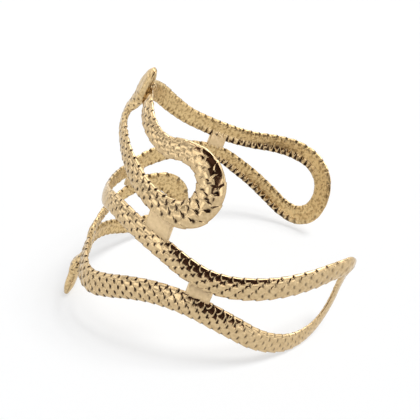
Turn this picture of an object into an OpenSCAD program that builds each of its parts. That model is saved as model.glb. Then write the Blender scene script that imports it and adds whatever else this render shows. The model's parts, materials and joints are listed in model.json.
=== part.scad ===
// An open cuff bracelet cast as one long scaly snake.
// The snake is drawn flat, as a course along the girth of an oval (u) and up its side (v),
// then wrapped round the oval. It makes a round loop at each end of the opening, a curl on
// each flank, and its two heads lie over the bands that cross the back.
// Millimetres. The cuff leans and stands on its two loops and its lower head, on z = 0.

/* [Wrist oval] */
// Half length of the oval at the back of the cuff
back_len = 35; // [30:0.5:42]
// Half length of the oval toward the opening
front_len = 27; // [24:0.5:36]
// Half width of the oval from the middle to either flank
half_width = 26.4; // [24:0.2:36]

/* [Snake body] */
// Widths of the body as a share of the drawn widths
body_share = 1; // [0.9:0.01:1.08]
// Height of the domed outside above the rims of the body
dome = 0.75; // [0.6:0.05:1.4]
// Depth of the body from its rims to its inner face
rim_depth = 0.5; // [0.4:0.05:0.8]
// Hollow along the middle of the inner face
back_hollow = 0.3; // [0:0.05:0.5]

/* [Scales] */
// Length of one scale along the body
scale_pitch = 3.3; // [3:0.1:4.5]
// Rise of each scale above the one before it
scale_rise = 0.3; // [0:0.02:0.5]

/* [Heads] */
// Thickness of the heads as a share of the drawn thickness
head_share = 1; // [0.8:0.02:1.2]
// Radius of the eyes
eye_r = 0.4; // [0.3:0.05:0.7]

/* [Bridges] */
// Thickness of the flat plates that tie neighbouring turns together
plate_thick = 0.9; // [0.7:0.05:1.2]

/* [Hidden] */
// Course of the half that makes the near loop, from the middle of the back.
// Columns: u along the girth, v up the side, width, lift off the oval.
near_half = [
    [0, -3.6, 4.6, -0.6], [6, -2.9, 4.6, -0.3], [11, -2.0, 4.7, 0], [16, -2.1, 4.9, 0],
    [20, -2.6, 4.9, 0], [28.8, -4.2, 4.9, 0], [34, -5.5, 5, 0], [38.5, -6.2, 5, 0],
    [43, -6.0, 5.1, 0], [48.7, -4.6, 5.2, 0], [54.6, -2.4, 5.1, 0], [60.7, 0.3, 5.1, 0],
    [66, 2.6, 5.1, 0.2], [69.2, 3.6, 5.1, 0.6], [71.5, 2.9, 4.4, 0.5], [72.6, 0.2, 3.9, -0.4],
    [72.7, -2.4, 3.4, -0.5], [72.2, -5.3, 3.3, -0.3], [70.9, -8.6, 3.3, -0.1],
    [68.6, -11.7, 3.7, 0], [65.5, -14.1, 4.3, 0], [62, -15.6, 4.7, 0],
    [58, -16.1, 4.9, 0], [53, -15.7, 5.1, 0], [48, -14.5, 5.3, 0], [43.5, -13.6, 5.4, 0],
    [38.5, -12.9, 5.4, 0], [34, -13, 5.3, 0], [29, -13.9, 5.2, 0], [23, -16.2, 5.2, 0],
    [17.5, -19, 5.4, 0], [13, -20.8, 5.6, 0.3], [8.5, -21, 5.6, 0.4],
    [4, -19.9, 5.3, 0], [-2, -18.6, 5, -0.2], [-9, -17.8, 4.7, 0],
    [-14, -17.7, 4.6, 0], [-18.5, -17.9, 4.6, 0], [-22.3, -17.6, 4.8, 0]];

// Course of the half that makes the far loop, in the same columns.
far_half = [
    [-5, -2.8, 4.6, -0.6], [-10, -1.8, 4.5, -0.3], [-15, 0.1, 4.5, 0], [-19, 2.1, 4.9, 0],
    [-24, 4.3, 4.8, 0], [-30, 6.3, 4.8, 0], [-36, 7.1, 4.6, 0], [-41, 6.9, 4.4, 0],
    [-46, 5.3, 4.7, 0], [-51, 3.5, 4.8, 0], [-57, 1.0, 5, 0], [-62, -0.9, 5, 0],
    [-66.5, -1.1, 5.3, 0], [-70.1, 1.3, 5.5, 0], [-71.4, 6, 5.3, 0], [-69.7, 11.1, 5.2, 0],
    [-65.5, 14.3, 5.1, 0], [-59.5, 15.4, 5.2, 0], [-54, 14.9, 4.9, 0], [-47.5, 13.7, 4.8, 0],
    [-40, 13.4, 4.9, 0], [-33.5, 14.1, 4.6, 0], [-27, 15.3, 4.5, 0], [-21, 17.4, 4.8, 0],
    [-15.5, 19.6, 5, 0], [-10, 20.6, 5, -1], [-4, 20.8, 5, -2.1], [2, 21, 4.8, -2.5],
    [7, 21.3, 4.6, -2.0], [10.5, 20.3, 4.7, -0.9], [13.8, 18.4, 4.3, -0.1],
    [17.5, 16.5, 4.0, 0], [21, 15.8, 4.4, 0]];

// Curl on the near flank, from the band round to the neck. The far curl is its half-turn copy.
curl = [
    [25.5, 16.7, 4.7, 0], [29.6, 16.1, 5.6, 0], [32.4, 13.4, 6.2, 0], [33.1, 9.8, 6.3, 0],
    [31.5, 6, 6.2, 0], [28, 4.2, 5.8, 0], [24, 4.3, 5.1, 0], [19.5, 5.3, 4.7, 0]];

// From each curl the body narrows to a neck.
near_neck = [[14.4, 7.4, 4.5, 0], [9, 10.4, 4.0, 0.4], [5, 13.6, 3.9, 0.9]];
far_neck = [[-14.3, -8.1, 3.9, 0], [-9, -11, 3.8, 0], [-5.6, -13.5, 3.8, 0]];

// Necks and heads. Columns: u, v, width, lift, thickness.
near_head = [
    [9.6, 10, 3.2, 0.2, 0.6], [5, 13.6, 3.7, 0.8, 1.1], [3.1, 17, 4, 0.4, 1.6],
    [3.8, 19.9, 4.6, -0.7, 2.3], [5, 22.5, 4.9, -1.1, 2.6], [6.6, 25, 3.8, -1.1, 2.2],
    [7.8, 26.8, 2.8, -1.1, 1.7], [8.3, 27.6, 1.6, -1.1, 0.9]];
far_head = [
    [-9.5, -10.7, 3.2, -0.2, 0.6], [-5.6, -13.5, 3.6, -0.2, 1.1], [-2.8, -16.2, 3.7, -0.1, 1.6],
    [-0.9, -19.3, 3.8, -0.5, 1.6], [-0.2, -21.4, 4.5, -0.2, 2], [0, -23.4, 5.4, 0.6, 2.9], [0.2, -27, 4.6, 0.9, 2.7],
    [0.3, -30.6, 3.6, 1.1, 2.2], [0.3, -32.3, 2.0, 1.2, 1.2]];

// Flat plates between turns: left and right edge along u, then bottom and top edge in v.
plates = [[-40, -35.4, 7.6, 13], [35.6, 41, -12, -6.8], [22.5, 28.4, -3.4, 4],
          [-18.6, -13.9, -5.5, 0.5]];

// Lean of the standing cuff, about its long axis and then about its side axis.
lean_x = -14.9;
lean_y = 21.8;

// Girth of the oval from the middle of the back, paired with the angle round it.
turn_step = 0.75;
function oval_at(a) = [-(abs(a) < 90 ? back_len : front_len) * cos(a), -half_width * sin(a)];
turns = [for (a = [0:turn_step:180]) a];
hops = [for (a = turns) a == 0 ? 0 : norm(oval_at(a) - oval_at(a - turn_step))];
function running(list, i = 0, sum = 0, out = []) =
    i == len(list) ? out : running(list, i + 1, sum + list[i], concat(out, [sum + list[i]]));
girth = running(hops);
girth_table = [for (i = [0:len(turns) - 1]) [girth[i], turns[i]]];
function angle_at(u) = sign(u) * lookup(abs(u), girth_table);

// Outward direction of the oval and a point wrapped on it.
function outward(a) =
    let (n = [-cos(a) / (abs(a) < 90 ? back_len : front_len), -sin(a) / half_width])
    n / norm(n);
function wrap(u, v, off) =
    let (a = angle_at(u), p = oval_at(a) + off * outward(a)) [p[0], p[1], v];

// A smooth line through the rows of a table, sampled at even steps.
function gap(t, i) = norm([t[i + 1][0] - t[i][0], t[i + 1][1] - t[i][1]]);
function marks(t) = running([for (i = [0:len(t) - 1]) i == 0 ? 0 : gap(t, i - 1)]);
function slope(t, m, i) =
    i == 0 ? (t[1] - t[0]) / m[1]
    : i == len(t) - 1 ? (t[i] - t[i - 1]) / (m[i] - m[i - 1])
    : let (b = m[i] - m[i - 1], f = m[i + 1] - m[i])
      ((t[i] - t[i - 1]) / b * f + (t[i + 1] - t[i]) / f * b) / (b + f);
function row_of(m, d) = min(len([for (x = m) if (x <= d) 1]), len(m) - 1) - 1;
function on_line(t, m, s, d) =
    let (i = row_of(m, d), h = m[i + 1] - m[i], k = (d - m[i]) / h)
    (2 * k * k * k - 3 * k * k + 1) * t[i] + (k * k * k - 2 * k * k + k) * h * s[i]
    + (3 * k * k - 2 * k * k * k) * t[i + 1] + (k * k * k - k * k) * h * s[i + 1];
function sampled(t, step) =
    let (m = marks(t), s = [for (i = [0:len(t) - 1]) slope(t, m, i)],
         n = ceil(m[len(t) - 1] / step))
    [for (k = [0:n]) on_line(t, m, s, m[len(t) - 1] * k / n)];
function across(line, i) =
    let (a = line[max(i - 1, 0)], b = line[min(i + 1, len(line) - 1)],
         d = [b[0] - a[0], b[1] - a[1]]) [-d[1], d[0]] / norm(d);

// Share of the half width and height share of the points over the domed outside.
over = [[0.8, 0.6], [0.42, 0.9], [0, 1], [-0.42, 0.9], [-0.8, 0.6]];
// Each scale climbs toward its rim, away from the nearer head; rows are half a scale apart.
function scale_at(k, j) =
    let (run = min(k, len(body_line) - 1 - k), part = run / 3 + (j % 2) / 2)
    scale_rise * (part - floor(part));
function body_ring(line, k) =
    let (p = line[k], n = across(line, k), w = p[2] / 2 * body_share, z = p[3] - 0.15,
         plump = p[2] / 5)
    [for (q = concat(
        [[1, 0]],
        [for (j = [0:4]) [over[j][0], plump * (dome * over[j][1] + scale_at(k, j))]],
        [[-1, 0], [-0.78, -rim_depth], [0, back_hollow - rim_depth], [0.78, -rim_depth]]))
     wrap(p[0] + n[0] * w * q[0], p[1] + n[1] * w * q[0], z + q[1])];
function head_ring(line, k) =
    let (p = line[k], n = across(line, k), w = p[2] / 2, h = p[4] / 2 * head_share,
         z = p[3])
    [for (b = [0:36:324]) wrap(p[0] + n[0] * w * cos(b), p[1] + n[1] * w * cos(b),
                               z + h * sin(b))];

function half_turn(t) = [for (r = t) [for (c = [0:len(r) - 1]) c < 2 ? -r[c] : r[c]]];
function reversed(t) = [for (i = [len(t) - 1:-1:0]) t[i]];

course = concat(reversed(near_neck), reversed(curl), reversed(far_half),
                near_half, half_turn(curl), far_neck);
body_line = sampled(course, scale_pitch / 3);
body_rings = [for (k = [0:len(body_line) - 1]) body_ring(body_line, k)];
near_line = sampled(near_head, 1.1);
near_rings = [for (k = [0:len(near_line) - 1]) head_ring(near_line, k)];
far_line = sampled(far_head, 1.1);
far_rings = [for (k = [0:len(far_line) - 1]) head_ring(far_line, k)];

// Where the leaning cuff lies, so that it can be set down on the floor about its middle.
function leaned(p) =
    let (y = p[1] * cos(lean_x) - p[2] * sin(lean_x), z = p[1] * sin(lean_x) + p[2] * cos(lean_x))
    [p[0] * cos(lean_y) + z * sin(lean_y), y, -p[0] * sin(lean_y) + z * cos(lean_y)];
spots = [for (set = [body_rings, near_rings, far_rings]) for (r = set) for (p = r) leaned(p)];
low = [for (c = [0:2]) min([for (p = spots) p[c]])];
high = [for (c = [0:2]) max([for (p = spots) p[c]])];
set_down = [-(low[0] + high[0]) / 2, -(low[1] + high[1]) / 2, -low[2]];

module skin(rings) {
    n = len(rings);
    m = len(rings[0]);
    polyhedron(
        points = [for (r = rings) for (p = r) p],
        faces = concat(
            [[for (j = [0:m - 1]) j]],
            [[for (j = [m - 1:-1:0]) (n - 1) * m + j]],
            [for (i = [0:n - 2]) for (j = [0:m - 1])
                let (a = i * m + j, b = i * m + (j + 1) % m)
                each [[a, a + m, b], [b, a + m, b + m]]]));
}

module plate(p) {
    steps = 3;
    for (i = [0:steps - 1]) hull() {
        for (u = [p[0] + (p[1] - p[0]) * i / steps, p[0] + (p[1] - p[0]) * (i + 1) / steps])
            polyhedron(
                points = [for (s = [0, 0.02], v = [p[2], p[3]], off = [-0.5, plate_thick - 0.5])
                    wrap(u + s, v, off)],
                faces = [[0, 1, 3, 2], [4, 6, 7, 5], [0, 4, 5, 1], [2, 3, 7, 6],
                         [0, 2, 6, 4], [1, 5, 7, 3]]);
    }
}

module eyes(line, k) {
    p = line[k];
    n = across(line, k);
    for (side = [-1, 1]) {
        w = p[2] / 2 * 0.55 * side;
        translate(wrap(p[0] + n[0] * w, p[1] + n[1] * w, p[3] + p[4] / 2 * 0.7))
            sphere(r = eye_r, $fn = 8);
    }
}

module snake_cuff() {
    color("Goldenrod")
    translate(set_down) rotate([lean_x, lean_y, 0]) union() {
        skin(body_rings);
        skin(near_rings);
        skin(far_rings);
        for (p = plates) plate(p);
        eyes(near_line, 15);
        eyes(far_line, 17);
    }
}

snake_cuff();
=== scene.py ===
# %% [markdown]
# # A snake bracelet in pale gold
# The real object is an open cuff: one long snake, cast in pale gold metal and laid in loops round
# the wrist, with a head at each end. It could be sculpted by hand, but a sculpted skin would wander
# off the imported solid. So the snake is drawn flat here, as it was drawn for the solid, and all its
# detail is worked out from that drawing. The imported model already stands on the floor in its
# resting lean. This script keeps to that frame and adds what the solid leaves out: the scales, the
# faces of the two heads, the finish of the metal, the studio and the camera.

# %% Load the frame
import json
import math
import bmesh
import bpy
import numpy as np
from mathutils import Matrix, Vector

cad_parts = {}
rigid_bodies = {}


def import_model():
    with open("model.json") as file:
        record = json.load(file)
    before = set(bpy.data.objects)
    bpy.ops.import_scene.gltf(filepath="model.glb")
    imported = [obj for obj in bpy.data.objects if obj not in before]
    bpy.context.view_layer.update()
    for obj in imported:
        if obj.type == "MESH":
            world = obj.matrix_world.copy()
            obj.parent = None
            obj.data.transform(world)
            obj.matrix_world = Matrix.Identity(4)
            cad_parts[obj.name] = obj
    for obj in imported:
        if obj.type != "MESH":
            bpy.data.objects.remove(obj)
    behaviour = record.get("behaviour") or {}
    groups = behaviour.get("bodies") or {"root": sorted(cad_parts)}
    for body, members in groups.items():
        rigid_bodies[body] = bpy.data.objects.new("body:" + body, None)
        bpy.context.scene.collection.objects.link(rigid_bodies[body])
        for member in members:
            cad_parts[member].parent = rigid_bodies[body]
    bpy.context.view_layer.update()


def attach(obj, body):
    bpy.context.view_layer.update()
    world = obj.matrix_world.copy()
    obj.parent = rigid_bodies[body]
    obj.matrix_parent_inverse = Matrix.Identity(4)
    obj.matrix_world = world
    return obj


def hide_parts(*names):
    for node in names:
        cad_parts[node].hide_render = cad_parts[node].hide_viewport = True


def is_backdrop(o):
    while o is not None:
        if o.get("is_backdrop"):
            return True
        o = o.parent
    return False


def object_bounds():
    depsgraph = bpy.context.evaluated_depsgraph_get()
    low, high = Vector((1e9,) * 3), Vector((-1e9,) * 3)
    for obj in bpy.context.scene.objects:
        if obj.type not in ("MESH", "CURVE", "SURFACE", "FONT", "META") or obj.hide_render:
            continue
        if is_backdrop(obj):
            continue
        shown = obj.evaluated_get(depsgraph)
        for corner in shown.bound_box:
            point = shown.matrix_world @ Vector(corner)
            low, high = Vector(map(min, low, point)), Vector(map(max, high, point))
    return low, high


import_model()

# %% [markdown]
# The snake was drawn flat and then wrapped round an egg-shaped oval, the section of a wrist. Two
# numbers place every point: u runs along the girth from the middle of the back, and v runs up the
# cuff. A bevelled curve object could follow such a course in space, but its section would twist on
# the way, and this body must keep its domed side outward everywhere. Tables of the flat course
# avoid that. They hold the same values as the solid's source, in millimetres, so the skin lies
# exactly where the solid lies.

# %% The body, drawn flat
BACK_LEN, FRONT_LEN, HALF_WIDTH = 35.0, 27.0, 26.4   # the oval: half lengths and half width

# Columns: u, v, width, lift off the oval.
near_half = [
    [0, -3.6, 4.6, -0.6], [6, -2.9, 4.6, -0.3], [11, -2.0, 4.7, 0], [16, -2.1, 4.9, 0],
    [20, -2.6, 4.9, 0], [28.8, -4.2, 4.9, 0], [34, -5.5, 5, 0], [38.5, -6.2, 5, 0],
    [43, -6.0, 5.1, 0], [48.7, -4.6, 5.2, 0], [54.6, -2.4, 5.1, 0], [60.7, 0.3, 5.1, 0],
    [66, 2.6, 5.1, 0.2], [69.2, 3.6, 5.1, 0.6], [71.5, 2.9, 4.4, 0.5], [72.6, 0.2, 3.9, -0.4],
    [72.7, -2.4, 3.4, -0.5], [72.2, -5.3, 3.3, -0.3], [70.9, -8.6, 3.3, -0.1],
    [68.6, -11.7, 3.7, 0], [65.5, -14.1, 4.3, 0], [62, -15.6, 4.7, 0], [58, -16.1, 4.9, 0],
    [53, -15.7, 5.1, 0], [48, -14.5, 5.3, 0], [43.5, -13.6, 5.4, 0], [38.5, -12.9, 5.4, 0],
    [34, -13, 5.3, 0], [29, -13.9, 5.2, 0], [23, -16.2, 5.2, 0], [17.5, -19, 5.4, 0],
    [13, -20.8, 5.6, 0.3], [8.5, -21, 5.6, 0.4], [4, -19.9, 5.3, 0], [-2, -18.6, 5, -0.2],
    [-9, -17.8, 4.7, 0], [-14, -17.7, 4.6, 0], [-18.5, -17.9, 4.6, 0], [-22.3, -17.6, 4.8, 0]]
far_half = [
    [-5, -2.8, 4.6, -0.6], [-10, -1.8, 4.5, -0.3], [-15, 0.1, 4.5, 0], [-19, 2.1, 4.9, 0],
    [-24, 4.3, 4.8, 0], [-30, 6.3, 4.8, 0], [-36, 7.1, 4.6, 0], [-41, 6.9, 4.4, 0],
    [-46, 5.3, 4.7, 0], [-51, 3.5, 4.8, 0], [-57, 1.0, 5, 0], [-62, -0.9, 5, 0],
    [-66.5, -1.1, 5.3, 0], [-70.1, 1.3, 5.5, 0], [-71.4, 6, 5.3, 0], [-69.7, 11.1, 5.2, 0],
    [-65.5, 14.3, 5.1, 0], [-59.5, 15.4, 5.2, 0], [-54, 14.9, 4.9, 0], [-47.5, 13.7, 4.8, 0],
    [-40, 13.4, 4.9, 0], [-33.5, 14.1, 4.6, 0], [-27, 15.3, 4.5, 0], [-21, 17.4, 4.8, 0],
    [-15.5, 19.6, 5, 0], [-10, 20.6, 5, -1], [-4, 20.8, 5, -2.1], [2, 21, 4.8, -2.5],
    [7, 21.3, 4.6, -2.0], [10.5, 20.3, 4.7, -0.9], [13.8, 18.4, 4.3, -0.1],
    [17.5, 16.5, 4.0, 0], [21, 15.8, 4.4, 0]]
near_curl = [
    [25.5, 16.7, 4.7, 0], [29.6, 16.1, 5.6, 0], [32.4, 13.4, 6.2, 0], [33.1, 9.8, 6.3, 0],
    [31.5, 6, 6.2, 0], [28, 4.2, 5.8, 0], [24, 4.3, 5.1, 0], [19.5, 5.3, 4.7, 0]]
near_neck = [[14.4, 7.4, 4.5, 0], [9, 10.4, 4.0, 0.4], [5, 13.6, 3.9, 0.9]]
far_neck = [[-14.3, -8.1, 3.9, 0], [-9, -11, 3.8, 0], [-5.6, -13.5, 3.8, 0]]

# The far curl is the near one, turned half round in the flat drawing.
far_curl = [[-u, -v, width, lift] for u, v, width, lift in near_curl]
course = (near_neck[::-1] + near_curl[::-1] + far_half[::-1] + near_half + far_curl + far_neck)
print("rows in the body's course:", len(course))

# %% [markdown]
# A head is thicker than the body and is rounded below as well. On the real bracelet each one lies
# over a band of the cuff. Its table has one more column, its thickness, so that the same drawing
# serves both. The flat plates are plain patches of the drawing between two turns of the body.

# %% The heads and the plates, drawn flat
# Columns: u, v, width, lift, thickness.
near_head = [
    [9.6, 10, 3.2, 0.2, 0.6], [5, 13.6, 3.7, 0.8, 1.1], [3.1, 17, 4, 0.4, 1.6],
    [3.8, 19.9, 4.6, -0.7, 2.3], [5, 22.5, 4.9, -1.1, 2.6], [6.6, 25, 3.8, -1.1, 2.2],
    [7.8, 26.8, 2.8, -1.1, 1.7], [8.3, 27.6, 1.6, -1.1, 0.9]]
far_head = [
    [-9.5, -10.7, 3.2, -0.2, 0.6], [-5.6, -13.5, 3.6, -0.2, 1.1], [-2.8, -16.2, 3.7, -0.1, 1.6],
    [-0.9, -19.3, 3.8, -0.5, 1.6], [-0.2, -21.4, 4.5, -0.2, 2], [0, -23.4, 5.4, 0.6, 2.9],
    [0.2, -27, 4.6, 0.9, 2.7], [0.3, -30.6, 3.6, 1.1, 2.2], [0.3, -32.3, 2.0, 1.2, 1.2]]

# Columns: u from, u to, v from, v to.
plates = [[-40, -35.4, 7.6, 13], [35.6, 41, -12, -6.8], [22.5, 28.4, -3.4, 4],
          [-18.6, -13.9, -5.5, 0.5]]
print("rows in the heads:", len(near_head), len(far_head), "plates:", len(plates))

# %% [markdown]
# The real cuff curves round the wrist in an oval. Blender's Simple Deform or Curve modifier could
# bend a flat mesh, but neither keeps lengths true along an oval. Here the angle that belongs to
# each length of girth is measured once, in small steps, and looked up after that, so a millimetre
# in the drawing stays a millimetre on the cuff.

# %% Wrap the drawing round the oval
TURNS = np.arange(0, 180.1, 0.75)   # degrees round the oval from the middle of the back


def reach(turn):
    """The oval's half length at a turn: an egg is longer at the back than at the front."""
    return np.where(np.abs(turn) < 90, BACK_LEN, FRONT_LEN)


def oval(turn):
    return np.stack([-reach(turn) * np.cos(np.radians(turn)),
                     -HALF_WIDTH * np.sin(np.radians(turn))], -1)


GIRTH = np.append(0, np.cumsum(np.linalg.norm(np.diff(oval(TURNS), axis=0), axis=1)))


def wrap(u, v, lift):
    """Points of the upright cuff in millimetres, for arrays of u, v and lift off the oval."""
    turn = np.sign(u) * np.interp(np.abs(u), GIRTH, TURNS)
    outward = np.stack([-np.cos(np.radians(turn)) / reach(turn),
                        -np.sin(np.radians(turn)) / HALF_WIDTH], -1)
    outward /= np.linalg.norm(outward, axis=-1, keepdims=True)
    return np.concatenate([oval(turn) + lift[..., None] * outward, v[..., None]], -1)


print("half the girth of the oval, mm:", round(GIRTH[-1], 1))

# %% [markdown]
# A snake's body has no corners, so the rows of a table are joined by a smooth line. A Bezier curve
# object would give one too, but its samples would have to be measured again before scales of equal
# length could be laid along them. This line is sampled at even steps from the start. It also gives
# the direction across the body at each step, where the width is laid off.

# %% A smooth line through a table
def smooth_line(table, step):
    """Even samples along a table's rows: way along, columns, direction across, way at each row."""
    rows = np.array(table, float)
    at_row = np.append(0, np.cumsum(np.hypot(*np.diff(rows[:, :2], axis=0).T)))
    apart = np.diff(at_row)[:, None]
    rise = np.diff(rows, axis=0) / apart
    inner_slopes = (rise[:-1] * apart[1:] + rise[1:] * apart[:-1]) / (apart[:-1] + apart[1:])
    slopes = np.vstack([rise[:1], inner_slopes, rise[-1:]])
    way = np.linspace(0, at_row[-1], math.ceil(at_row[-1] / step) + 1)
    i = np.clip(np.searchsorted(at_row, way, side="right") - 1, 0, len(rows) - 2)
    k = (way - at_row[i])[:, None] / apart[i]
    line = ((2 * k**3 - 3 * k**2 + 1) * rows[i] + (3 * k**2 - 2 * k**3) * rows[i + 1]
            + apart[i] * ((k**3 - 2 * k**2 + k) * slopes[i] + (k**3 - k**2) * slopes[i + 1]))
    ahead = np.gradient(line[:, :2], axis=0)
    side = np.stack([-ahead[:, 1], ahead[:, 0]], 1) / np.hypot(*ahead.T)[:, None]
    return way, line, side, at_row


def off_line(line, side, w, lift):
    """Points of the upright cuff at w to the side of a line, with a lift off the oval."""
    return wrap(line[:, 0:1] + side[:, 0:1] * w, line[:, 1:2] + side[:, 1:2] * w, lift)


print("length of the body, mm:", round(smooth_line(course, 1)[0][-1]))

# %% [markdown]
# Left alone, an open cuff like this rolls onto its lowest turns and leans. The solid was set down
# that way: turned, moved over the middle, and lowered until its lowest corner touched the floor.
# The skin could be lowered until it touched as well, but it is finer than the solid and would land
# a little off. So the corners of the solid's rings are worked out again, only to find its place.

# %% Where the cuff stands
LEAN_X, LEAN_Y = math.radians(-14.9), math.radians(21.8)
STAND = Matrix.Rotation(LEAN_Y, 3, "Y") @ Matrix.Rotation(LEAN_X, 3, "X")
DOME, RIM_DEPTH, BACK_HOLLOW = 0.75, 0.5, 0.3   # height outward, depth inward, hollow within
SUNK = 0.15          # how far the body is let into the oval
FULL_WIDTH = 5       # the width of body that has just that dome
SOLID_STEP = 1.1     # between the solid's rings
SOLID_SCALE = 0.3    # height of the solid's coarse scales, each three rings long
SOLID_DOME = [(0.8, 0.6), (0.42, 0.9), (0, 1), (-0.42, 0.9), (-0.8, 0.6)]   # across, height
SOLID_INNER = 0.78   # where its rim meets its inside, as a share across


def solid_corners():
    """The corners of the solid's rings, in the upright frame."""
    _, line, side, _ = smooth_line(course, SOLID_STEP)
    number = np.minimum(np.arange(len(line)), np.arange(len(line))[::-1])
    plump = line[:, 2:3] / FULL_WIDTH
    ring = [(1, 0), (-1, 0), (-SOLID_INNER, -RIM_DEPTH), (0, BACK_HOLLOW - RIM_DEPTH),
            (SOLID_INNER, -RIM_DEPTH)]
    for j, (q, share) in enumerate(SOLID_DOME):
        relief = ((number / 3 + (j % 2) / 2) % 1)[:, None]
        ring.append((q, plump * (DOME * share + SOLID_SCALE * relief)))
    corners = [off_line(line, side, line[:, 2:3] / 2 * q, line[:, 3:4] - SUNK + z)
               for q, z in ring]
    round_head = np.radians(np.arange(0, 360, 36))
    for head in (near_head, far_head):
        _, line, side, _ = smooth_line(head, SOLID_STEP)
        corners.append(off_line(line, side, line[:, 2:3] / 2 * np.cos(round_head),
                                line[:, 3:4] + line[:, 4:5] / 2 * np.sin(round_head)))
    return np.concatenate([c.reshape(-1, 3) for c in corners])


leaning = solid_corners() @ np.array(STAND).T
low, high = leaning.min(0), leaning.max(0)
SET_DOWN = np.array([-(low[0] + high[0]) / 2, -(low[1] + high[1]) / 2, -low[2]])


def stood(points):
    """Upright millimetres to standing metres."""
    return (points @ np.array(STAND).T + SET_DOWN) / 1000


print("set down at, mm:", SET_DOWN.round(3))

# %% [markdown]
# Most of the detail below comes and goes, along the snake or across it. Two small shapes describe
# that: a climb from 0 to 1 between two places, and a soft bell round one place. In a material the
# Map Range node does the same. Here they are functions, because they shape the mesh itself.

# %% Two shapes for comings and goings
def climb(value, start, end):
    """0 up to start, 1 from end on, and a straight climb between them, either way round."""
    return np.clip((value - start) / (end - start), 0, 1)


def bell(value, middle, width):
    return np.exp(-((value - middle) / width)**2)


print("half way up a climb:", climb(5, 0, 10), "top of a bell:", bell(0, 0, 1))

# %% [markdown]
# The scales are cast in relief. Each is a tile that climbs toward a rounded tip and then drops into
# a short gap, and neighbouring rows are half a scale apart. Hundreds of small scale objects
# would be heavy and would never join into one skin. A bump texture would be light but flat at the
# edges, where the scales show most. So they are real relief: one function gives the height of the
# overlapping tiles anywhere on the skin, and the shade painted there: dark in the gap past each
# tip, fainter along the tip.

# %% Scales as a height over the skin
TIP_ROUND = 0.42     # how far a tip bends back at its sides; this and the next are scale lengths
TIP_DROP = 0.07      # the way in which a tip drops to the next tile
TIP_LIP = 0.1        # the bright lip along a tip; this and the next two are shares of the height
TILE_CROWN = 0.3     # the fall from a tile's middle to its sides
GAP_DEEP = 0.1       # the depth of the gap past a tip
GAP_AT, GAP_LONG, GAP_WIDE = 0.11, 0.09, 0.5   # where that gap lies past the tip, and its size
SHADE_LONG, SHADE_MARK = 0.1, 0.3              # the fainter line of shade along the whole tip


def scales(run, row):
    """Height of overlapping tiles, and painted shade between them; run and row count scales."""
    best, mark, gaps = np.full_like(run, -1), np.zeros_like(run), np.zeros_like(run)
    for beside in (-1, 0, 1):
        j = np.round(row) + beside
        off = np.clip(np.abs(row - j), 0, 1)
        bow = TIP_ROUND * (1 - np.sqrt(1 - off**2))
        back = (0.5 * (j % 2) - bow - run) % 1      # from this tile's tip back to its root
        past = 1 - back                             # from the tip of the tile behind it
        tile = np.where(past > TIP_DROP, 1 - 0.75 * back - 0.25 * back**2 - bow,
                        (1 - bow) * (1 - past / TIP_DROP))
        tile = tile + TIP_LIP * bell(back, 0.04, 0.05) - TILE_CROWN * off**2
        # painted shade: a faint line along each tip, and dark in the gap past it
        shade = SHADE_MARK * climb(past, SHADE_LONG, 0) * (off < 0.9)
        mark = np.where((tile > best) & (off < 1), shade, mark)
        best = np.maximum(best, np.where(off < 1, tile, -1))
        gap = np.clip(1 - (off / GAP_WIDE)**2, 0, 1) * bell(past, GAP_AT, GAP_LONG)
        gaps = np.maximum(gaps, gap)
    return best - GAP_DEEP * gaps, np.maximum(mark, gaps)


tile_height, _ = scales(np.linspace(0, 1, 101), np.zeros(101))
print("a scale's lowest and highest point:", tile_height.min().round(2), tile_height.max().round(2))

# %% [markdown]
# The body is a band with a domed outside and a flatter inside, so its section is a ring of points:
# some over the dome, some across the inside. Points at even angles would crowd at the rims. They
# are set at even lengths over the dome, so that every scale gets its share of them.

# %% Points round the section
OUTSIDE, INSIDE = 36, 20   # points over the dome and points across the inside
SKIN_STEP = 0.11           # between rings of the skin
ROWS = 4                   # row spacings across the dome
ROW_SHARE = 0.21           # one row spacing as a share of the way across
DOME_SHAPE = 0.32          # the dome's height, as a share of its half width


def section(count):
    """Even points over the dome: places across, and shares of the dome's height."""
    a = np.linspace(0, math.pi, 721)
    steps = np.hypot(np.diff(np.cos(a)), DOME_SHAPE * np.diff(np.sin(a)))
    way = np.append(0, np.cumsum(steps))
    b = np.interp(np.linspace(0, way[-1], count), way, a)
    return np.cos(b), np.sin(b)


across, dome_share = section(OUTSIDE)
print("points round the section:", OUTSIDE + INSIDE)

# %% [markdown]
# Polish and wear differ from place to place on the real casting. Near the mouth of the cuff the
# relief is shallow, and the outer rim of each curl was rubbed smooth. The shade painted in the gaps
# between scales is lighter toward the mouth, on the curl's top and on the smooth rim. Vertex
# groups could be painted for this, but a rule on u and v is plain to read and gives the same result
# each run. Below, "along" is u without its sign, and "up" is v in the sense of the near half, so
# that one rule serves both curls. The numbers are places in the drawing.

# %% Where the relief is calm or smooth, and the painted shade lighter
RIM_SHARE, RIM_TOOTH = 0.95, 0.06   # half width of the rim, and how far its teeth stand out


def near_sense(line):
    """Along and up, in the sense of the near half."""
    half = np.sign(line[:, 0:1])
    return half * line[:, 0:1], half * line[:, 1:2], half


def calmness(line):
    """1 where the relief is full, 0.4 near the mouth of the cuff."""
    return 1 - 0.6 * climb(np.abs(line[:, 0:1]), 62, 70)


def smooth_rim(line):
    """1 on the smooth outer rim of each curl, for each point across."""
    along, up, half = near_sense(line)
    return (climb(along, 22, 27) * climb(along, 42, 38) * climb(up, 3, 5)
            * climb(-half * across, 0.5, 0.7))


def darkness(line):
    """How strong the painted shade in the gaps is: less toward the mouth, and less on the curl's
    top.
    """
    along, up, _ = near_sense(line)
    return ((1 - 0.45 * climb(along, 42, 54))
            * (1 - 0.5 * climb(along, 14, 20) * climb(up, 11, 14)))


def rim_width(line, run):
    """Half width of the toothed rim, as a share: it grows along each outermost scale."""
    return RIM_SHARE + RIM_TOOTH * ((run - 0.1) % 1)[:, None] * calmness(line)


print("relief left at the mouth:", calmness(np.array([[72.0]]))[0, 0].round(2))

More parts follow.
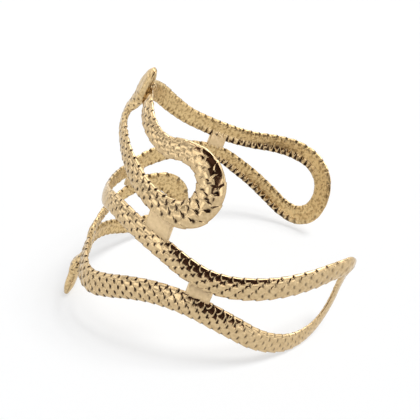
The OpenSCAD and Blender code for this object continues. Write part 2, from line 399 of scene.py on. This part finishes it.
# %% [markdown]
# The outside is the dome with the scales laid on it. A Displace modifier could lay them on, but it
# would push the rims out of the oval too. Here their height fades out in a hair's breadth at the
# rim, where the outside meets the inside, so that the two close without a step.

# %% The domed outside
SCALE_RISE = 0.25    # millimetres from a scale's root to its tip
TILE_LEVEL = 0.3     # the share of that height which lies level with the dome
SMOOTHED = 0.45      # how much of it is gone on a curl's smooth rim


def outside(line, run):
    """Places across, heights and painted shade over the outside of each ring."""
    share = np.linspace(0, 1, OUTSIDE)
    rows = np.clip((share - 0.5) / ROW_SHARE + ROWS / 2, 0, ROWS)
    height, gap = scales(run[:, None] + 0 * rows, rows + 0 * run[:, None])
    calm, smooth = calmness(line), smooth_rim(line)
    fade = climb(np.abs(across), 1, 0.97)
    q = across * (1 + (rim_width(line, run) - 1) * np.abs(across)**6)
    rise = SCALE_RISE * calm * (1 - SMOOTHED * smooth)
    z = line[:, 2:3] / FULL_WIDTH * (DOME * dome_share + rise * (height - TILE_LEVEL) * fade)
    return q, z, gap * fade * calm * darkness(line) * (1 - 0.9 * smooth)


print("scale height, mm:", SCALE_RISE)

# %% [markdown]
# Inside, the real casting is nearly flat, with a sloping flank on each side and a shallow hollow
# along the middle. The roots of the outer scales show there as small notches, with shade painted in
# them. The lower rims of the far loop have a row of bright teeth with hollows between them, and
# shade is painted in those hollows on the lower rims only, where the shade falls. Near the mouth the
# inside has fine grooves lengthwise instead. A separate inner mesh would leave a seam at the rims.
# So this is the other part of the same ring, with the same scales laid much flatter and faint
# painted shade in their gaps, more on the flanks. Here a larger z lies deeper in the metal.

# %% The flatter inside
FLANK = 0.42         # width of a sloping flank, as a share of the half width
FLAT_RISE, FLANK_RISE = 0.09, 0.36   # height of the scales all over, and more on the flanks
FLAT_LEVEL = 0.4     # the share of that height which lies level with the inside
HOLLOW, HOLLOW_WIDE = 0.2, 0.64      # the middle's depth, and its half width as a share across
NOTCH_DEEP, GROOVE_DEEP = 0.42, 0.07   # depth of the notches, and of the grooves near the mouth
TOOTH_DEEP, TEETH_PER_SCALE = 0.16, 1.5   # depth between the far loop's teeth, and their number


def far_loop_share(line):
    """1 on the far loop, above the crossing."""
    u, v = line[:, 0:1], line[:, 1:2]
    return climb(u, -30, -36) * climb(u, -70, -64) * climb(v, -3.5, -1.5)


def inside(line, side, run):
    """Places across, heights, painted shade and roughness over the inside of each ring."""
    calm, far_loop = calmness(line), far_loop_share(line)
    q = np.linspace(-1, 1, INSIDE + 2)[1:-1]
    rows = ROWS + (q + 1) / 2 * ROWS
    height, gap = scales(run[:, None] + 0 * q, rows + 0 * run[:, None])
    slope = climb(np.abs(q), 1, 1 - FLANK)
    flank = 4 * slope * (1 - slope)
    notch = (bell(((run + 0.5) % 1)[:, None], 0.4 + 0.25 * np.abs(q), 0.11)
             * climb(np.abs(q), 0.5, 0.7))
    lower = np.clip(-q * np.clip(2 * side[:, 1:2], -1, 1), 0, 1)
    beat = 2 * np.abs((TEETH_PER_SCALE * run) % 1 - 0.5)[:, None]
    hollows = far_loop * climb(0.78 * (lower - 0.12) - beat, -0.04, 0.21)
    z = (-RIM_DEPTH * slope + HOLLOW * np.clip(1 - (q / HOLLOW_WIDE)**2, 0, 1)
         - (FLAT_RISE + FLANK_RISE * flank) * calm * (height - FLAT_LEVEL)
         + NOTCH_DEEP * calm * notch * climb(np.abs(q), 1, 0.85)
         + GROOVE_DEEP * (1 - calm) * np.sin(15 * q) * (1 - flank)
         + TOOTH_DEEP * hollows)
    # painted shade: in the scales' gaps, more on the flanks, in the notches, and in the hollows
    # between the far loop's lower teeth
    gap = np.maximum(gap * (0.1 + 0.8 * flank), np.maximum(0.55 * notch, hollows))
    rough = 1 - 0.85 * far_loop * climb(lower, 0.15, 0.35)
    return q * rim_width(line, run), z, gap * calm, rough + 0 * z


print("teeth per scale on the far loop:", TEETH_PER_SCALE)

# %% [markdown]
# Now the section meets the course: at each step along the snake stands one ring of points, out over
# the dome and back across the inside. A bevelled curve or a Screw modifier would make smooth rings
# only. These carry the relief with them, and two marks for the metal: how much shade is painted at
# a point, and how rough it is.

# %% Rings of the body
def body_rings(line, side, run):
    """Rings of standing points along the body, with their painted shade and their roughness."""
    q_out, z_out, dark_out = outside(line, run)
    q_in, z_in, dark_in, rough_in = inside(line, side, run)
    q = np.concatenate([q_out, q_in, q_out[:, :1]], 1)
    z = np.concatenate([z_out, z_in, z_out[:, :1]], 1)
    dark = np.concatenate([dark_out, dark_in, 0 * dark_out[:, :1]], 1)
    rough = np.concatenate([0 * dark_out, rough_in, 0 * dark_out[:, :1]], 1)
    rings = stood(off_line(line, side, line[:, 2:3] / 2 * q, line[:, 3:4] - SUNK + z))
    return rings, dark, rough


print("steps along the body:", len(smooth_line(course, SKIN_STEP)[0]))

# %% [markdown]
# The skin itself starts as a plain grid. Its long way follows the snake and its short way goes once
# round the section, like a sheet of paper rolled into a tube. Bridging hundreds of separate loops
# would also work, but one grid that is moved onto the rings is quicker, and its order stays known,
# so the marks land on the right points. Then its seam is welded and its ends are closed.

# %% A grid rolled into a closed skin
WELD = 1e-6   # metres: points nearer than this become one


def piece_from(name, bm, mesh=None):
    """Turns the faces outward, shades them smooth, and puts the piece in the scene."""
    bmesh.ops.recalc_face_normals(bm, faces=bm.faces[:])
    for face in bm.faces:
        face.smooth = True
    mesh = mesh or bpy.data.meshes.new(name)
    bm.to_mesh(mesh)
    bm.free()
    piece = bpy.data.objects.new(name, mesh)
    bpy.context.scene.collection.objects.link(piece)
    return piece


def rolled_skin(name, rings, marks=()):
    """A closed skin over rings of points, with a value at each point for each mark."""
    bm = bmesh.new()
    bmesh.ops.create_grid(bm, x_segments=rings.shape[1] - 1, y_segments=rings.shape[0] - 1, size=1)
    mesh = bpy.data.meshes.new(name)
    bm.to_mesh(mesh)
    bm.free()
    mesh.vertices.foreach_set("co", rings.reshape(-1).astype(np.float32))
    for label, values in marks:
        layer = mesh.attributes.new(label, "FLOAT", "POINT")
        layer.data.foreach_set("value", values.reshape(-1).astype(np.float32))
    bm = bmesh.new()
    bm.from_mesh(mesh)
    bmesh.ops.remove_doubles(bm, verts=bm.verts[:], dist=WELD)
    bmesh.ops.holes_fill(bm, edges=[e for e in bm.edges if e.is_boundary], sides=0)
    return piece_from(name, bm, mesh)


print("weld distance, mm:", 1000 * WELD)

# %% [markdown]
# Scales grow with the width of the body, and they point away from the nearer head, so the two
# directions meet in the middle of the back. Counting lengths in scales instead of millimetres does
# both: the count rises faster where the body is narrow. The whole body would be one very large
# mesh. It is cut into four pieces, at places that share a ring, so no seam shows.

# %% The four pieces of the body
SCALE_SHARE = (0.43, 0.51)   # a scale's length as a share of the body's width: low, high turns
LOW_V, HIGH_V = -14, -7      # where the low turns end and the high ones begin
CUTS = (0.55, 1, 1.5)        # where the pieces meet, as shares of the way to the middle of the back
body_names = ("near_curl_and_top_band", "far_side_loop", "near_side_loop", "low_band_and_far_curl")

way, line, side, at_row = smooth_line(course, SKIN_STEP)
middle = at_row[len(near_neck) + len(near_curl) + len(far_half)]
scale_long = np.interp(line[1:, 1], (LOW_V, HIGH_V), SCALE_SHARE) * line[1:, 2]
scale_count = np.append(0, np.cumsum(np.diff(way) / scale_long))
run = -np.abs(scale_count - np.interp(middle, way, scale_count))
rings, dark, rough = body_rings(line, side, run)
ends = [0, *(int(np.searchsorted(way, middle * share)) for share in CUTS), len(way) - 1]
body = []
for name, first, last in zip(body_names, ends, ends[1:]):
    part = slice(first, last + 1)
    body.append(rolled_skin(name, rings[part], [("gap", dark[part]), ("inner", rough[part])]))
print("scale lengths along the body:", round(scale_count[-1]),
      "faces:", [len(piece.data.polygons) for piece in body])

# %% [markdown]
# On the real bracelet a head is a smooth wedge with a flat crown, two brow ridges with a furrow
# between them, and a line for the mouth on each side; scales begin again on the neck. It could be
# sculpted from a ball. It is rolled from a grid like the body instead, and its face is drawn by
# small changes of its radius, because it must run on from the body without a step.

# %% The face of a head
SKULL = 8.5          # millimetres from the tip of the snout to the back of the skull
NECK_SCALE = 2.1     # length of a scale on the neck
BROW, FURROW, LIP_LINE, CREASE, NECK_RISE = 0.22, 0.16, 0.2, 0.06, 0.16   # heights and depths


def face(back, turn):
    """Growth of a head's radius, and its painted shade; back counts in skulls from the snout."""
    top, flank = np.sin(turn), np.abs(np.cos(turn))
    upper = (top > -0.2) * 1.0
    skull = climb(back, 1.15, 0.9) * climb(back, 0, 0.12)
    brow = BROW * bell(flank, 0.68, 0.17) * bell(back, 0.55, 0.3) * upper
    furrow = FURROW * bell(flank, 0, 0.3) * bell(back, 0.6, 0.35) * (top > 0)
    lips = bell(top, -0.12 - 0.1 * back, 0.13) * climb(back, 0.72, 0.62)
    creases = CREASE * np.sin(7 * turn) * climb(back, 0.95, 1.25) * upper
    neck = climb(back, 0.6, 0.8)
    neck_run = (back - 0.4) * SKULL / NECK_SCALE + 0 * turn
    neck_rows = 1.5 * ROWS * np.abs((turn / math.pi + 0.5) % 2 - 1) + 0 * neck_run
    height, gap = scales(-neck_run, neck_rows)
    grow = ((brow - furrow - LIP_LINE * lips) * skull + creases
            + NECK_RISE * neck * (height - 0.4))
    # painted shade in the mouth line and in the gaps between the neck's scales
    dark = np.maximum(0.35 * lips * skull, 0.7 * gap * neck)
    return grow, np.clip(1.1 * dark, 0, 1)


print("mouth ends behind the snout, mm:", round(0.72 * SKULL, 1))

# %% [markdown]
# The rings of a head are round, with the width and thickness from its table. A loft between a few
# hand-placed loops would need fewer rings, but no room for brows and scales. The table goes back a
# little way into the neck, so that the head's skin starts inside the body.

# %% Rings of a head
HEAD_STEP = 0.16     # between rings
HEAD_POINTS = 57     # round each ring, the first and the last in one place


def head_rings(way, line, side):
    """Rings of standing points along a head, with their painted shade."""
    turn = np.linspace(0, 2 * math.pi, HEAD_POINTS)
    grow, dark = face(((way[-1] - way) / SKULL)[:, None], turn)
    w = (line[:, 2:3] / 2 + grow) * np.cos(turn)
    lift = line[:, 3:4] + (line[:, 4:5] / 2 + grow) * np.sin(turn)
    return stood(off_line(line, side, w, lift)), dark


print("points round a head:", HEAD_POINTS - 1)

# %% [markdown]
# An eye is a bead in a raised ring, set into the side of the head. It could be part of the head's
# relief, but the head's points are too far apart for anything so small and round. So bead and ring
# are pieces of their own on one spot, and they look mostly sideways and partly outward. The ring is
# a small circle that is spun round, because bmesh has no ready ring.

# %% Eyes
EYE_RADIUS, RING_RADIUS, RING_THICK = 0.58, 0.68, 0.19   # millimetres


def eye_seat(way, line, side, back, share, rise):
    """The place and turn of an eye: back in skulls, share across, rise in half thicknesses."""
    i = int(np.searchsorted(way, way[-1] - back * SKULL))
    w, lift = line[i, 2] / 2 * share, line[i, 3] + line[i, 4] / 2 * rise

    def spot(w, lift):
        return stood(off_line(line[i:i + 1], side[i:i + 1], np.array([[w]]),
                              np.array([[lift]])))[0, 0]

    at = spot(w, lift)
    outward = Vector(spot(w, lift + 1) - at).normalized()
    sideways = Vector(spot(w + share, lift) - at).normalized()
    turn = Vector((0, 0, 1)).rotation_difference(0.75 * outward + sideways)
    return Matrix.Translation(Vector(at)) @ turn.to_matrix().to_4x4()


def eye_bead(name, seat):
    bm = bmesh.new()
    bmesh.ops.create_uvsphere(bm, u_segments=20, v_segments=12, radius=EYE_RADIUS / 1000)
    bmesh.ops.transform(bm, verts=bm.verts[:], matrix=seat)
    return piece_from(name, bm)


def eye_ring(name, seat):
    bm = bmesh.new()
    bmesh.ops.create_circle(bm, segments=8, radius=RING_THICK / 1000)
    bmesh.ops.rotate(bm, verts=bm.verts[:], matrix=Matrix.Rotation(math.pi / 2, 3, "X"))
    bmesh.ops.translate(bm, verts=bm.verts[:], vec=(RING_RADIUS / 1000, 0, 0))
    bmesh.ops.spin(bm, geom=bm.edges[:] + bm.verts[:], cent=(0, 0, 0), axis=(0, 0, 1),
                   angle=2 * math.pi, steps=24, use_merge=True)
    bmesh.ops.remove_doubles(bm, verts=bm.verts[:], dist=WELD)
    bmesh.ops.transform(bm, verts=bm.verts[:], matrix=seat)
    return piece_from(name, bm)


print("eye and ring, mm across:", 2 * EYE_RADIUS, round(2 * (RING_RADIUS + RING_THICK), 2))

# %% [markdown]
# The two heads differ only in their tables and in where their eyes sit. The near head is seen on
# edge, with its eyes low on its flanks. The far head lies on the low turns and is seen from above.

# %% The two heads
HEAD_ROUGH = 0.45    # a head's finish lies between the polished outside and the rough inside
heads = []
for label, table, eye_back, eye_rise in (("near", near_head, 0.36, -0.75),
                                         ("far", far_head, 0.5, 0.1)):
    head_line = smooth_line(table, HEAD_STEP)[:3]
    face_rings, lips = head_rings(*head_line)
    heads.append(rolled_skin(f"{label}_head", face_rings,
                             [("gap", lips), ("inner", 0 * lips + HEAD_ROUGH)]))
    for hand, share in (("left", -0.82), ("right", 0.82)):
        seat = eye_seat(*head_line, eye_back, share, eye_rise)
        heads += [eye_bead(f"{label}_{hand}_eye", seat), eye_ring(f"{label}_{hand}_eye_ring", seat)]
print("head pieces:", len(heads))

# %% [markdown]
# Four small flat plates tie neighbouring turns together, so that the open loops can't spread. On a
# flat object a cube would do. These have to bend with the oval, so each is a short skin of square
# rings, a little thinner than the body, and its ends run into the body as in one casting.

# %% Plates
PLATE_THICK = 0.9
PLATE_LOW = -0.5     # the lift of a plate's inner face off the oval


def plate(name, u_from, u_to, v_from, v_to):
    u = np.linspace(u_from, u_to, 13)[:, None] + np.zeros(5)
    v = np.array([v_from, v_to, v_to, v_from, v_from]) + 0 * u
    lift = PLATE_LOW + PLATE_THICK * np.array([0, 0, 1, 1, 0]) + 0 * u
    return rolled_skin(name, stood(wrap(u, v, lift)))


bridges = [plate(f"bridge_{i + 1}", *sizes) for i, sizes in enumerate(plates)]
print("plates:", [piece.name for piece in bridges])

# %% [markdown]
# A material and a world are trees of nodes. They could be drawn by hand in the shader editor; in a
# script two small helpers keep the trees readable. One adds a node with its settings, and the other
# joins two sockets.

# %% Helpers for nodes
def add(tree, kind, values=(), **settings):
    """A new shader node; values maps socket names or numbers to what they are set to."""
    node = tree.nodes.new("ShaderNode" + kind)
    for name, value in settings.items():
        setattr(node, name, value)
    for socket, value in dict(values).items():
        node.inputs[socket].default_value = value
    return node


def join(source, target):
    target.id_data.links.new(source, target)


COLOUR_A, COLOUR_B, COLOUR_OUT = 6, 7, 2   # a Mix node's two colours in and one out, by number
print("colour sockets of a Mix node:", COLOUR_A, COLOUR_B, "out:", COLOUR_OUT)

# %% [markdown]
# The metal is a pale gold, probably plated. Under the plating a casting is never quite even, so a
# fine noise moves the tone between two golds and raises a very slight grain. One flat colour would
# look like plastic, and a photo of metal would not follow the shape. Metallic is the same all over,
# so it is set on the shader's own socket.

# %% Pale gold
GRAIN_SCALE = 1500      # noise cells in a metre: about 0.7 mm each
GRAIN_HEIGHT = 0.0001   # metres
GRAIN_SHOWN = 0.1       # how much of that height shows
# the plates' two tones are painted paler than the polished gold: a painted sheen for the bright
# light they mirror
SATIN_SHEEN_TONES, SATIN_ROUGH = ((0.74, 0.575, 0.34), (0.85, 0.67, 0.42)), 0.6


def pale_gold(name, deeper, paler):
    """A gold between two tones; gives the material and the nodes that others build on."""
    metal = bpy.data.materials.new(name)
    metal.use_nodes = True
    tree = metal.node_tree
    shader = tree.nodes["Principled BSDF"]
    shader.inputs["Metallic"].default_value = 1
    place = add(tree, "TexCoord")
    grain = add(tree, "TexNoise", {"Scale": GRAIN_SCALE, "Detail": 3})
    tone = add(tree, "ValToRGB")
    for stop, at, colour in zip(tone.color_ramp.elements, (0.3, 0.7), (deeper, paler)):
        stop.position, stop.color = at, (*colour, 1)
    bump = add(tree, "Bump", {"Distance": GRAIN_HEIGHT, "Strength": GRAIN_SHOWN})
    join(place.outputs["Object"], grain.inputs["Vector"])
    join(grain.outputs["Fac"], tone.inputs["Fac"])
    join(grain.outputs["Fac"], bump.inputs["Height"])
    join(bump.outputs["Normal"], shader.inputs["Normal"])
    join(tone.outputs["Color"], shader.inputs["Base Color"])
    return metal, shader, grain.outputs["Fac"], tone.outputs["Color"], bump


smooth_gold, satin, *_ = pale_gold("smooth_gold", *SATIN_SHEEN_TONES)
satin.inputs["Roughness"].default_value = SATIN_ROUGH
print("satin metal of the plates:", smooth_gold.name)

# %% [markdown]
# On the body one finish runs into the next, so one material must hold several. Separate materials
# would leave hard borders. A mark that the skin carries mixes two finishes point by point instead,
# and it stays with the piece in any view. Three helpers do the mixing.

# %% Helpers for mixed finishes
POLISHED_TONES = (0.527, 0.378, 0.203), (0.702, 0.528, 0.304)
scaled_gold, shader, grain, tone, bump = pale_gold("scaled_gold", *POLISHED_TONES)
tree = scaled_gold.node_tree


def product(a, b):
    """The product of two sockets, or of a socket and a number, kept between 0 and 1."""
    node = add(tree, "Math", operation="MULTIPLY", use_clamp=True)
    join(a, node.inputs[0])
    if isinstance(b, (int, float)):
        node.inputs[1].default_value = b
    else:
        join(b, node.inputs[1])
    return node.outputs["Value"]


def between(mark, low, high):
    """A number that goes from low to high as a mark goes from 0 to 1."""
    node = add(tree, "MapRange", {"To Min": low, "To Max": high})
    join(mark, node.inputs["Value"])
    return node.outputs["Result"]


def tinted(colour, share, tint):
    """A colour that turns toward a tint by a share."""
    node = add(tree, "Mix", data_type="RGBA")
    node.inputs[COLOUR_B].default_value = (*tint, 1)
    join(share, node.inputs["Factor"])
    join(colour, node.inputs[COLOUR_A])
    return node.outputs[COLOUR_OUT]


print("nodes before the finishes are mixed:", len(tree.nodes))

# %% [markdown]
# The outside is nearly a mirror. The inside was left as it came from the mould: rougher, deeper in
# tone, and pitted, with brown in the pits. The gaps between scales, the notches, the hollows between
# the teeth and the mouth lines are painted dark: this is painted shade, for places that light hardly
# reaches. A node that looks for hollows could find those places, but it would be slow, and its
# result would be lost in the exported model. The two marks that the skin carries say it outright.
# The pits lie where the grain is deepest.

# %% Scaled gold
# the last of these colours is painted shade, for the gaps, notches, hollows and mouth lines
RAW_GOLD, PIT_BROWN, GAP_SHADE = (0.71, 0.52, 0.255), (0.36, 0.235, 0.1), (0.035, 0.02, 0.012)
RAW_SHARE, PIT_SHARE, GAP_SHARE = 0.9, 0.8, 1.425   # how strongly each tint covers
PIT_EDGE, PIT_FLOOR = 0.5, 0.4       # the grain's values at a pit's edge and in its depth
POLISHED, RAW = 0.11, 0.36           # roughness outside and inside
POLISHED_GRAIN, RAW_GRAIN = 0.08, 1  # how much of the grain's height shows on each

inner = add(tree, "Attribute", attribute_name="inner").outputs["Fac"]
gap = add(tree, "Attribute", attribute_name="gap").outputs["Fac"]
pits = add(tree, "MapRange", {"From Min": PIT_EDGE, "From Max": PIT_FLOOR, "To Max": PIT_SHARE})
join(grain, pits.inputs["Value"])
colour = tinted(tone, product(inner, RAW_SHARE), RAW_GOLD)
colour = tinted(colour, product(pits.outputs["Result"], inner), PIT_BROWN)
# painted shade: the gaps, notches, hollows and mouth lines turn dark
colour = tinted(colour, product(gap, GAP_SHARE), GAP_SHADE)
join(colour, shader.inputs["Base Color"])
join(between(inner, POLISHED, RAW), shader.inputs["Roughness"])
join(between(inner, POLISHED_GRAIN, RAW_GRAIN), bump.inputs["Strength"])
print("nodes in the scaled metal:", len(tree.nodes))

# %% [markdown]
# Only the plates are satin all over, as they look on the real bracelet, and their gold is painted
# paler as a sheen for the bright light that they mirror. One loop does this for every piece, so
# none is missed.

# %% Dress the pieces
for piece in [*body, *heads, *bridges]:
    piece.data.materials.append(smooth_gold if piece in bridges else scaled_gold)
    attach(piece, "root")
    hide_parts("snake_cuff")
print("dressed pieces:", len(body) + len(heads) + len(bridges))

# %% [markdown]
# The floor is a sheet of white paper. Lit by a lamp alone it would turn grey wherever the light
# falls off. A share of its white is its own glow, so only the shadow of the lamp shows on it, as in
# a picture taken on a lit table.

# %% Floor
FLOOR_HALF, FLOOR_AHEAD = 2, 1.7   # metres: half its side, and how far it lies beyond the cuff
PAPER_TONE, PAPER_GLOW = (0.335, 0.34, 0.345, 1), 0.645   # what it returns, and what it gives

bm = bmesh.new()
bmesh.ops.create_grid(bm, x_segments=2, y_segments=2, size=FLOOR_HALF)
bmesh.ops.translate(bm, verts=bm.verts[:], vec=(0, FLOOR_AHEAD, 0))
floor_mesh = bpy.data.meshes.new("floor")
bm.to_mesh(floor_mesh)
bm.free()
floor = bpy.data.objects.new("floor", floor_mesh)
bpy.context.scene.collection.objects.link(floor)

white_floor = bpy.data.materials.new("white_floor")
white_floor.use_nodes = True
paper = white_floor.node_tree.nodes["Principled BSDF"]
for socket, value in (("Base Color", PAPER_TONE), ("Roughness", 0.9),
                      ("Emission Color", (1, 1, 1, 1)), ("Emission Strength", PAPER_GLOW)):
    paper.inputs[socket].default_value = value
floor.data.materials.append(white_floor)
floor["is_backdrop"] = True
print("floor corners:", len(floor_mesh.vertices))

# %% [markdown]
# Polished metal shows what stands round it, so a bracelet is photographed in a white tent. The tent
# could be modelled as a room, but the world's background can hold it for less. Each direction gets
# a brightness from a few nodes: directions are compared with an aim, and a smooth step turns the
# likeness into light or dark.

# %% Helpers for the tent
scene = bpy.context.scene
scene.view_settings.view_transform = "Standard"
tent = bpy.data.worlds.new("tent")
scene.world = tent
tent.use_nodes = True
sky = tent.node_tree
sky.nodes.clear()
way_out = add(sky, "TexCoord").outputs["Generated"]


def toward(azimuth, elevation):
    """The direction at an azimuth and an elevation in degrees."""
    a, e = math.radians(azimuth), math.radians(elevation)
    return math.cos(a) * math.cos(e), math.sin(a) * math.cos(e), math.sin(e)


def along(aim):
    """How far each direction goes along an aim."""
    node = add(sky, "VectorMath", {1: aim}, operation="DOT_PRODUCT")
    join(way_out, node.inputs[0])
    return node.outputs["Value"]


def step(value, start, end, low, high, kind="SMOOTHSTEP"):
    """A step from low, where a value is at start, to high, where it is at end."""
    node = add(sky, "MapRange", {"From Min": start, "From Max": end, "To Min": low,
                                 "To Max": high}, interpolation_type=kind)
    join(value, node.inputs["Value"])
    return node.outputs["Result"]


def times(a, b):
    node = add(sky, "Math", operation="MULTIPLY")
    join(a, node.inputs[0])
    join(b, node.inputs[1])
    return node.outputs["Value"]


print("straight up:", [round(part, 2) for part in toward(0, 90)])

# %% [markdown]
# White cloth hangs in folds, and polished gold shows them as broad soft bands. An even white world
# would make the metal look like matt paint. So the cloth is a little brighter overhead, and a large
# soft noise makes it darker and brighter in places.

# %% The tent's cloth
CLOTH_LOW, CLOTH_HIGH = 1.0, 1.2     # brightness at the floor and overhead
FOLD_DARK, FOLD_BRIGHT = 0.55, 1.9   # its folds, as shares of that
FOLD_COUNT = 4.2                     # the noise's scale: folds over the tent

upward = along((0, 0, 1))
folds = add(sky, "TexNoise", {"Scale": FOLD_COUNT, "Detail": 1})
join(way_out, folds.inputs["Vector"])
cloth = times(step(upward, 0, 0.9, CLOTH_LOW, CLOTH_HIGH, "LINEAR"),
              step(folds.outputs["Fac"], 0.38, 0.62, FOLD_DARK, FOLD_BRIGHT))
print("nodes for the cloth:", len(sky.nodes))

# %% [markdown]
# A picture is taken through an opening in the tent, and the metal mirrors that too: it draws the
# dark brown patches on the curl and along the near turns. Painting them on the metal would fix them
# to one view. The opening is a window between two sides, an upper edge and a slanted lower edge.
# Each edge is a short step along its own aim, and the two numbers are where it starts and ends.

# %% The dark opening
OPENING_LEVEL = 0.04                 # brightness left in it
OPENING_BROWN = (1, 0.55, 0.48, 1)   # its tint
across_it, into_it = along(toward(8, 0)), along(toward(-82, 0))
sides = times(step(across_it, -0.5, -0.44, 0, 1), step(across_it, 0.46, 0.52, 1, 0))
lower_and_upper = times(step(along((-0.6, -0.084, 1)), 0.03, 0.11, 0, 1),
                        step(upward, 0.89, 0.94, 1, 0))
opening = times(times(sides, lower_and_upper), step(into_it, 0, 0.02, 0, 1))
level = times(cloth, step(opening, 0, 1, 1, OPENING_LEVEL))
print("nodes with the opening:", len(sky.nodes))

# %% [markdown]
# Two bright boxes shine through the cloth and give the metal its crisp lights. Area lamps could do
# that, but they would wash out the shadow on the paper as well. Here they are round spots in the
# tent with soft edges, each a cone about an aim, full inside the first angle and gone outside the
# second. A broad, slightly dimmer side keeps the left from going flat.

# %% Bright boxes
LAMP_AIM = toward(15, 61)
SPOTS = ((toward(100, 62), 13, 19, 2.2), (LAMP_AIM, 13, 19, 3.4), (toward(176, 24), 35, 70, 0.92))

for aim, full_inside, gone_outside, power in SPOTS:
    level = times(level, step(along(aim), math.cos(math.radians(gone_outside)),
                              math.cos(math.radians(full_inside)), 1, power))
print("nodes with the boxes:", len(sky.nodes))

# %% [markdown]
# Only reflections should see all this. The camera sees plain white behind the cuff, and the paper
# gets a faint even light, so that its own glow and the lamp decide how white it is. The Light Path
# node tells such rays apart.

# %% What each ray sees
FOR_CAMERA, FOR_PAPER = 1, 0.22
ray = add(sky, "LightPath")
strength = add(sky, "Mix", data_type="FLOAT")
join(ray.outputs["Is Glossy Ray"], strength.inputs[0])
join(step(ray.outputs["Is Camera Ray"], 0, 1, FOR_PAPER, FOR_CAMERA), strength.inputs[2])
join(level, strength.inputs[3])
tint = add(sky, "Mix", {COLOUR_A: (1, 1, 1, 1), COLOUR_B: OPENING_BROWN}, data_type="RGBA")
join(times(opening, ray.outputs["Is Glossy Ray"]), tint.inputs[0])
glow, end = add(sky, "Background"), add(sky, "OutputWorld")
join(strength.outputs[0], glow.inputs["Strength"])
join(tint.outputs[COLOUR_OUT], glow.inputs["Color"])
join(glow.outputs["Background"], end.inputs["Surface"])
print("nodes in the tent:", len(sky.nodes))

# %% [markdown]
# One soft lamp stands high on the right and lays the curved shadow on the paper. An area lamp would
# fade across the floor; a sun keeps the same strength everywhere, and its angle sets how soft the
# shadow's edge is. The metal already mirrors the boxes, so the lamp is kept out of reflections.

# %% Lamp
LAMP_POWER, LAMP_SOFT = 2.8, 20   # strength, and width in degrees
lamp_data = bpy.data.lights.new("top_light", "SUN")
lamp_data.angle = math.radians(LAMP_SOFT)
lamp_data.energy = LAMP_POWER
top_light = bpy.data.objects.new("top_light", lamp_data)
scene.collection.objects.link(top_light)
top_light.visible_glossy = False
top_light.rotation_euler = Vector(LAMP_AIM).to_track_quat("Z", "Y").to_euler()
print("lamp strength:", round(lamp_data.energy, 2))

# %% [markdown]
# The camera looks down on the cuff from the near side. It could be placed by eye, but the loops
# would then cross in the wrong places. Its place was worked out on the upright cuff, as three
# directions and a shift, and is carried over to the standing cuff with the same lean. So the
# picture keeps its angle while the cuff rests as it would by itself.

# %% Camera
LOOK = np.array([[0.93926842, -0.04408677, 0.34033981],     # to the right in the picture
                 [0.30308594, -0.35862042, -0.88291014],    # downward in it
                 [0.16097746, 0.93244182, -0.32347876]])    # into it
SHIFT = np.array([9.316, 2.607, 144.68])   # from the eye to the cuff's middle, in those directions
FOCAL_PIXELS, FRAME_PIXELS, FILM = 600, 420, 36

camera_data = bpy.data.cameras.new("camera")
camera_data.sensor_width = FILM
camera_data.lens = FOCAL_PIXELS / FRAME_PIXELS * FILM
camera_data.clip_start, camera_data.clip_end = 0.01, 10
camera = bpy.data.objects.new("camera", camera_data)
scene.collection.objects.link(camera)
right, down, into = (np.array(STAND) @ LOOK.T).T
eye = stood(-LOOK.T @ SHIFT)
facing = Matrix([right, -down, -into]).transposed().to_4x4()
camera.matrix_world = Matrix.Translation(Vector(eye)) @ facing
scene.camera = camera
print("camera height, mm:", round(1000 * eye[2], 1))

# %% [markdown]
# Last, the box of the finished skin is printed in millimetres. Numbers show a millimetre that an
# eye would miss. The box should agree closely with the solid's, because the skin stands in for the
# solid.

# %% Size of the dressed cuff
low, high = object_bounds()
print("dressed box, mm:", [round(1000 * (b - a), 1) for a, b in zip(low, high)])
